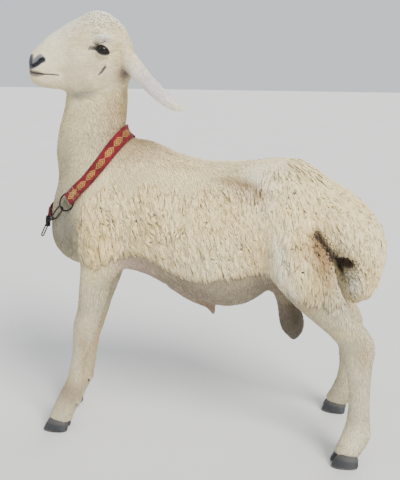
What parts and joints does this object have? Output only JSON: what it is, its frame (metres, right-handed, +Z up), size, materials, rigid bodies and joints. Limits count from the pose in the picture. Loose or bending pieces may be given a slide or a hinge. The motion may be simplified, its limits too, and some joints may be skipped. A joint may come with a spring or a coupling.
{
  "type": "sheep",
  "caption": "Still, life-size standing ram with a fat tail, lop ears, a raised head turned to its left and a webbing slip collar.",
  "frame": {"origin": "on the floor under the middle of the whole ram's bounding box", "axes": "+Z up, -X the way the ram's body faces, -Y the ram's left side"},
  "size_m": [0.9102, 0.3554, 1.1124],
  "materials": {
    "wool": "matt cream wool in short wavy locks with tan tips",
    "face_hair": "short white to cream hair, lying flat",
    "bare_skin": "matt taupe skin with sparse hair",
    "horn": "satin slate-grey horn",
    "eye": "wet gloss, dark brown with a level pupil",
    "webbing": "woven red webbing with a gold diamond motif",
    "dark_metal": "blackened steel, slightly worn"
  },
  "bodies": {
    "root": {"claw_fore_left_inner": "horn", "claw_fore_left_outer": "horn", "claw_fore_right_inner": "horn", "claw_fore_right_outer": "horn", "claw_hind_left_inner": "horn", "claw_hind_left_outer": "horn", "claw_hind_right_inner": "horn", "claw_hind_right_outer": "horn", "collar_ring": "dark_metal", "collar_strap": "webbing", "dewclaw_fore_left_inner": "horn", "dewclaw_fore_left_outer": "horn", "dewclaw_fore_right_inner": "horn", "dewclaw_fore_right_outer": "horn", "dewclaw_hind_left_inner": "horn", "dewclaw_hind_left_outer": "horn", "dewclaw_hind_right_inner": "horn", "dewclaw_hind_right_outer": "horn", "ear_left": "face_hair", "ear_right": "face_hair", "eye_left": "eye", "eye_right": "eye", "foreleg_left_lower": "wool", "foreleg_left_upper": "wool", "foreleg_right_lower": "wool", "foreleg_right_upper": "wool", "hanging_hook": "dark_metal", "head": "face_hair", "hind_leg_left_lower": "wool", "hind_leg_left_upper": "wool", "hind_leg_right_lower": "wool", "hind_leg_right_upper": "wool", "lower_jaw": "face_hair", "neck": "wool", "scrotum": "bare_skin", "sheath": "bare_skin", "snap_hook": "dark_metal", "snap_swivel": "dark_metal", "strap_end": "dark_metal", "tail": "wool", "trunk": "wool"}
  },
  "joints": []
}
